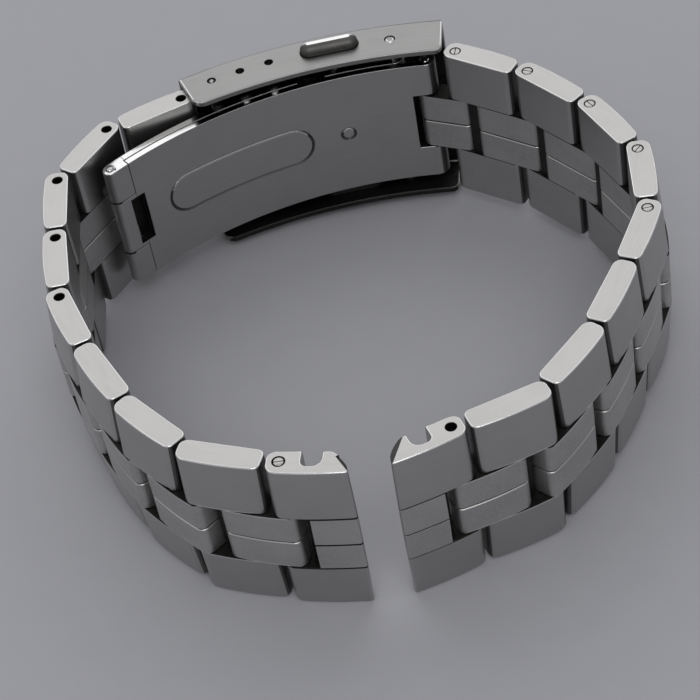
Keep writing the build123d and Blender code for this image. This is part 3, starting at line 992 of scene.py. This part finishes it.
fit_piece("clasp_cover", make_cover(), clasp_place, "clasp_cover", "cover_steel")


def domed_pin(radius, low, high, centre):
    # A pin with rounded end edges, polished and painted light as a highlight
    near_rim = pin_dome * dome_share
    profile = [(0, low), (radius - pin_dome, low), (radius - near_rim, low + near_rim),
               (radius, low + pin_dome), (radius, high - pin_dome), (radius - near_rim, high - near_rim),
               (radius - pin_dome, high), (0, high)]
    bands = ((low + match_range, low + pin_dome, BRIGHT), (high - pin_dome, high - match_range, BRIGHT))
    return smoothed(turned(profile, bands, centre))


hinge_pin = domed_pin(fold_pin_radius, cover_low, cover_high, hinge_point)
fit_piece("hinge_pin", hinge_pin, clasp_place, "clasp_cover", "pin_steel", cover_satin)


# Folding blades

def knuckle(point, radius, low, high, bore):
    # A rolled eye of a blade, round a pin, polished and painted light at the band's edges, with painted deep
    # shade at its inner ends and painted shade on a lug's far side
    ease = knuckle_ease
    bands = [(low - ease, low + ease, BRIGHT if near(low, blade_low) else DEEP_SHADE),
             (high - ease, high + ease, BRIGHT if near(high, blade_high) else DEEP_SHADE)]
    eye = eased_rod(radius, low, high, ease, ease, bands, point, bore)
    for face in eye.polygons:
        if near(radius, lug_radius) and face.center.x > point[0] + radius / 4:
            face.material_index = SHADE
    return eye


def polished_highlit_sides(mesh):
    # The sides of a blade that look at the band's edges are polished, and painted light as a highlight
    for face in mesh.polygons:
        if abs(face.normal.z) > facing and face.material_index == SATIN:
            face.material_index = BRIGHT
    return mesh


def blade_part(bm):
    return bent(eased(polished_highlit_sides(as_mesh(bm)), blade_ease), blade_centre, blade_radius)


def bored(mesh, point, radius):
    # Frees the hole of a pin in a bent piece
    return combined(mesh, rod(radius, blade_low - overrun, blade_high + overrun, (), point))


tip_along = along(tip_angle, blade_radius)
tip_end = tip_along + tip_knuckle + tip_seam
outer_zones = ((blade_low, row_width - side_play), (row_high + side_play, blade_high))


def slot_cutter(inner, outer):
    slot_half = (row_high - row_width) / 2 - slot_margin
    slot_x = along(slot_angle, blade_radius) - slot_shift
    return blank(slot_x - slot_width / 2, slot_x + slot_width / 2, inner, outer, strip_split - slot_half,
                 strip_split + slot_half)


def make_middle_blade():
    # A plate with the hinge knuckle at one end and two knuckles at the tip
    plate = blank(tip_end, along(blade_tilt, blade_radius), middle_face, middle_back, blade_low, blade_high)
    ear_x = along(ear_angle, blade_radius)
    half = ear_length / 2 + ear_play
    low_window = (blade_low - overrun, blade_low + blade_plate + ear_play)
    high_window = (blade_high - blade_plate - ear_play, blade_high + overrun)
    windows = [as_mesh(blank(ear_x - half, ear_x + half, inner_face - overrun, middle_back + overrun, *ends))
               for ends in (low_window, high_window)]
    plate = combined(as_mesh(plate), joined(windows))
    plate = eased(polished_highlit_sides(plate), blade_ease)
    # The recess behind the inner blade's slot is painted as deep shade
    plate = combined(plate, as_mesh(painted(slot_cutter(middle_face - overrun, middle_face + slot_recess))))
    parts = [bent(plate, blade_centre, blade_radius)]
    for low, high in outer_zones:
        for end, inner, outer in ((tip_end - tip_gap, blade_radius, middle_face + sink),
                                  (tip_end + 2 * sink, middle_face, middle_back)):
            arm = blade_part(blank(tip_along, end, inner, outer, low, high))
            parts.append(bored(arm, tip_point, tip_pin_radius + hole_play))
        parts.append(knuckle(tip_point, tip_knuckle, low, high, tip_pin_radius + hole_play))
    parts.append(knuckle(hinge_point, knuckle_radius, blade_low, blade_high, fold_pin_radius + hole_play))
    return smoothed(joined(parts))


def tapered_stadium(length, width, low, high, taper):
    # A bar with half-round ends that gets wider or narrower from one end to the other
    bm = stadium(length + 2 * taper, width + 2 * taper, low, high)
    share = (width / 2) / (width / 2 + taper)
    middle = (length - width) / 2
    for vert in bm.verts:
        if near(vert.co.z, high):
            own = middle if vert.co.x > 0 else -middle
            vert.co.x = own + (vert.co.x - own) * share
            vert.co.y *= share
    return bm


def pressed_line(length, width, place_along):
    # A shallow groove round an outline, pressed into the blade before it is bent, with a painted highlight on
    # its lit faces and painted shade on the rest
    half = mark_line / 2
    reach = half * (1 + mark_lip / mark_depth)
    outer = tapered_stadium(length - mark_line, width - mark_line, -mark_lip, mark_depth, reach)
    inner = tapered_stadium(length - mark_line, width - mark_line, -2 * mark_lip, mark_depth + corner_play,
                            -half * (1 + 2 * mark_lip / mark_depth))
    ring = combined(as_mesh(outer), as_mesh(inner))
    turn = Matrix.Rotation(-pi / 2, 4, "X")
    ring.transform(Matrix.Translation((place_along, blade_radius, strip_split)) @ turn)
    # Painted highlight on the groove's upward faces in the upper half, painted shade on the rest
    for face in ring.polygons:
        is_lit = face.normal.z < -lit_share and face.center.z > strip_split
        face.material_index = BRIGHT if is_lit else SHADE
    return ring


def make_inner_blade():
    # A slotted plate with a pressed line, the middle knuckle, two lugs and two catch ears
    lug_x = along(lug_angle, blade_radius)
    notch = lug_x - lug_radius - notch_gap
    plate = blank(tip_end, lug_x, blade_radius, inner_face, blade_low, blade_high)
    slot = slot_cutter(blade_radius - overrun, inner_face + overrun)
    gap = blank(notch, lug_x + overrun, blade_radius - overrun, inner_face + overrun, row_width - side_play,
                row_high + side_play)
    tongue = blank(tip_along, tip_end, blade_radius, inner_face, row_width, row_high)
    # The slot and the gap by the lugs are painted as deep shade
    lines = [as_mesh(painted(slot)),
             pressed_line(mark_length, mark_height, along(mark_angle, blade_radius)),
             pressed_line(2 * dot_radius + corner_play, 2 * dot_radius, along(dot_angle, blade_radius))]
    plate = combined(as_mesh(plate), as_mesh(tongue), "UNION")
    plate = combined(plate, as_mesh(painted(gap)))
    plate = eased(polished_highlit_sides(plate), blade_ease)
    for line in lines:
        plate = combined(plate, line)
    plate = bent(plate, blade_centre, blade_radius)
    parts = [bored(plate, tip_point, tip_pin_radius + hole_play),
             knuckle(tip_point, tip_knuckle, row_width, row_high, tip_pin_radius + hole_play)]
    for low, high in outer_zones:
        parts.append(knuckle(lug_centre, lug_radius, low, high, fold_pin_radius + hole_play))
    ear_x = along(ear_angle, blade_radius)
    for low, high in ((blade_low, blade_low + blade_plate), (blade_high - blade_plate, blade_high)):
        parts.append(blade_part(blank(ear_x - ear_length / 2, ear_x + ear_length / 2, inner_face - sink,
                                      inner_face + ear_height, low, high)))
    return smoothed(joined(parts))


fit_piece("middle_blade", make_middle_blade(), clasp_place, "middle_blade", "blade_steel")
fit_piece("inner_blade", make_inner_blade(), clasp_place, "inner_blade", "blade_steel")
tip_pin = domed_pin(tip_pin_radius, blade_low - pin_dome, blade_high + pin_dome, tip_point)
fit_piece("tip_pin", tip_pin, clasp_place, "middle_blade", "pin_steel")
lug_pin = domed_pin(fold_pin_radius, blade_low, blade_high, lug_centre)
fit_piece("lug_pin", lug_pin, clasp_place, "inner_blade", "pin_steel")


# Spring bar

bar_centre = (bar_point.x - clasp_shift[0], bar_point.y - clasp_shift[1])
tube = eased_rod(bar_radius, bar_inset, band_width - bar_inset, pin_bevel, pin_bevel, (), bar_centre,
                 bar_bore)
fit_piece("bar_tube", smoothed(tube), clasp_place, "clasp_cover", "pin_steel")
tips = [eased_rod(bar_tip_radius, *ends, (), bar_centre)
        for ends in ((cover_low, bar_tip_root, tip_round, pin_bevel),
                     (band_width - bar_tip_root, cover_high, pin_bevel, tip_round))]
fit_piece("bar_tips", smoothed(joined(tips)), clasp_place, "clasp_cover", "pin_steel")


def coil(outer, low, high, turns, centre):
    # A coil of round wire with closed ends
    bm = bmesh.new()
    bmesh.ops.create_circle(bm, cap_ends=True, radius=coil_wire, segments=8)
    stand = Matrix.Translation((outer - coil_wire, 0, low + coil_wire)) @ Matrix.Rotation(pi / 2, 4, "X")
    bmesh.ops.transform(bm, matrix=stand, verts=bm.verts)
    steps = turn_steps * turns
    rise = (high - low - 2 * coil_wire) / steps
    bmesh.ops.spin(bm, geom=bm.faces[:] + bm.edges[:] + bm.verts[:], cent=(0, 0, 0), axis=(0, 0, 1),
                   dvec=(0, 0, rise), angle=2 * pi * turns, steps=steps)
    bmesh.ops.recalc_face_normals(bm, faces=bm.faces)
    bmesh.ops.translate(bm, vec=(*centre, 0), verts=bm.verts)
    return smoothed(as_mesh(bm))


bar_coil = coil(bar_tip_radius, bar_tip_root, band_width - bar_tip_root, bar_turns, bar_centre)
fit_piece("bar_spring", bar_coil, clasp_place, "clasp_cover", "spring_steel")


# Push buttons

def make_button():
    # A domed cap on a flange, with a stem and the hook that frees the catch; a painted highlight on the
    # crest, painted shade on the flange and hook
    flange_high = channel_high - slide_play
    flange_low = flange_high - flange_plate
    top = cover_high + button_rise
    cap = stadium(button_length, button_width, flange_high - sink, top)
    ease_rim(cap, top, button_dome, 10, -1)
    flange_length = button_length + 2 * flange_margin
    flange = stadium(flange_length, button_width + 2 * flange_margin, flange_low, flange_high)
    hook_x = -flange_length / 2
    hook = blank(hook_x, hook_x + hook_length, -hook_width / 2, hook_width / 2, flange_low - hook_plate,
                 flange_low + sink / 2)
    stem = rod(stem_radius, strip_split + stem_gap / 2, flange_low + sink)
    cap.normal_update()
    # Painted highlight: the crest and the faces tilted back are painted in the bright steel
    for face in cap.faces:
        is_crest = face.normal.z > crest_share
        if is_crest or (face.normal.y > crest_side and face.normal.z > sloping):
            face.material_index = BRIGHT
    notch = blank(-button_notch / 2, button_notch / 2, button_width / 4, button_width, top - button_notch,
                  top + overrun)
    cap = combined(as_mesh(cap), as_mesh(notch))
    return smoothed(joined([cap, as_mesh(painted(flange, SHADE)), as_mesh(painted(hook, SHADE)), stem]))


button = make_button()
button_world = Vector((clasp_shift[0] + button_point[0], clasp_shift[1] + button_point[1]))
fit_piece("button_upper", button, right_place(button_world, -button_angle), "button_upper", "button_steel")
fit_piece("button_lower", button, left_place(button_world, -button_angle), "button_lower", "button_steel")
coil_low = channel_low + slide_play + flange_plate + button_travel + side_play
button_coil = coil(sleeve_outer, coil_low, band_width - coil_low, button_turns, button_point)
fit_piece("button_spring", button_coil, clasp_place, "clasp_cover", "spring_steel")


# Floor, light and camera

def make_floor():
    # A pale plane that leans a little, so that the bracelet rests on its lower button and its front links
    floor = bpy.data.materials.new("studio floor")
    floor.use_nodes = True
    tree = floor.node_tree
    shader = tree.nodes["Principled BSDF"]
    shader.inputs["Roughness"].default_value = floor_roughness
    place = add_node(tree, "ShaderNodeTexCoord")
    noise = add_node(tree, "ShaderNodeTexNoise")
    noise.inputs["Scale"].default_value = floor_grain
    tree.links.new(place.outputs["Object"], noise.inputs["Vector"])
    tree.links.new(blended(tree, noise.outputs["Fac"], floor_dark, floor_light), shader.inputs["Base Color"])
    bm = bmesh.new()
    bmesh.ops.create_grid(bm, x_segments=1, y_segments=1, size=floor_half)
    mesh = bpy.data.meshes.new("studio floor")
    bm.to_mesh(mesh)
    bm.free()
    mesh.materials.append(floor)
    piece = put("studio floor", mesh)
    back = cad_box[1][1]
    front = cad_box[0][1]
    lean = atan2(band_base * MILLIMETRE, back - front)
    piece.matrix_world = Matrix.Translation((0, back * floor_contact, 0)) @ Matrix.Rotation(-lean, 4, "X")


make_floor()


def soft_box(name, place, width, height, power):
    # A wide lamp that faces the object
    lamp = bpy.data.lights.new(name, "AREA")
    lamp.shape = "RECTANGLE"
    lamp.size = width
    lamp.size_y = height
    lamp.energy = power
    piece = put(name, lamp)
    away = Vector(place)
    piece.matrix_world = Matrix.Translation(away) @ away.to_track_quat("Z", "Y").to_matrix().to_4x4()


for name, lamp_values in lamps.items():
    soft_box(name, *lamp_values)

world = bpy.data.worlds.new("studio")
bpy.context.scene.world = world
world.use_nodes = True
world.node_tree.nodes["Background"].inputs["Color"].default_value = sky_colour
world.node_tree.nodes["Background"].inputs["Strength"].default_value = sky_strength

camera = bpy.data.cameras.new("camera")
camera.sensor_width = sensor_width
camera.lens = focal_pixels / image_pixels * sensor_width
camera.clip_start = clip_start
camera_piece = put("camera", camera)
look = Matrix.Rotation(radians(-camera_yaw), 4, "Z") @ Matrix.Rotation(radians(90 - camera_pitch), 4, "X")
look = look @ Matrix.Rotation(radians(camera_roll), 4, "Z")
camera_piece.matrix_world = Matrix.Translation(Vector(camera_place) * MILLIMETRE) @ look
bpy.context.scene.camera = camera_piece
bpy.context.scene.view_settings.view_transform = "Standard"
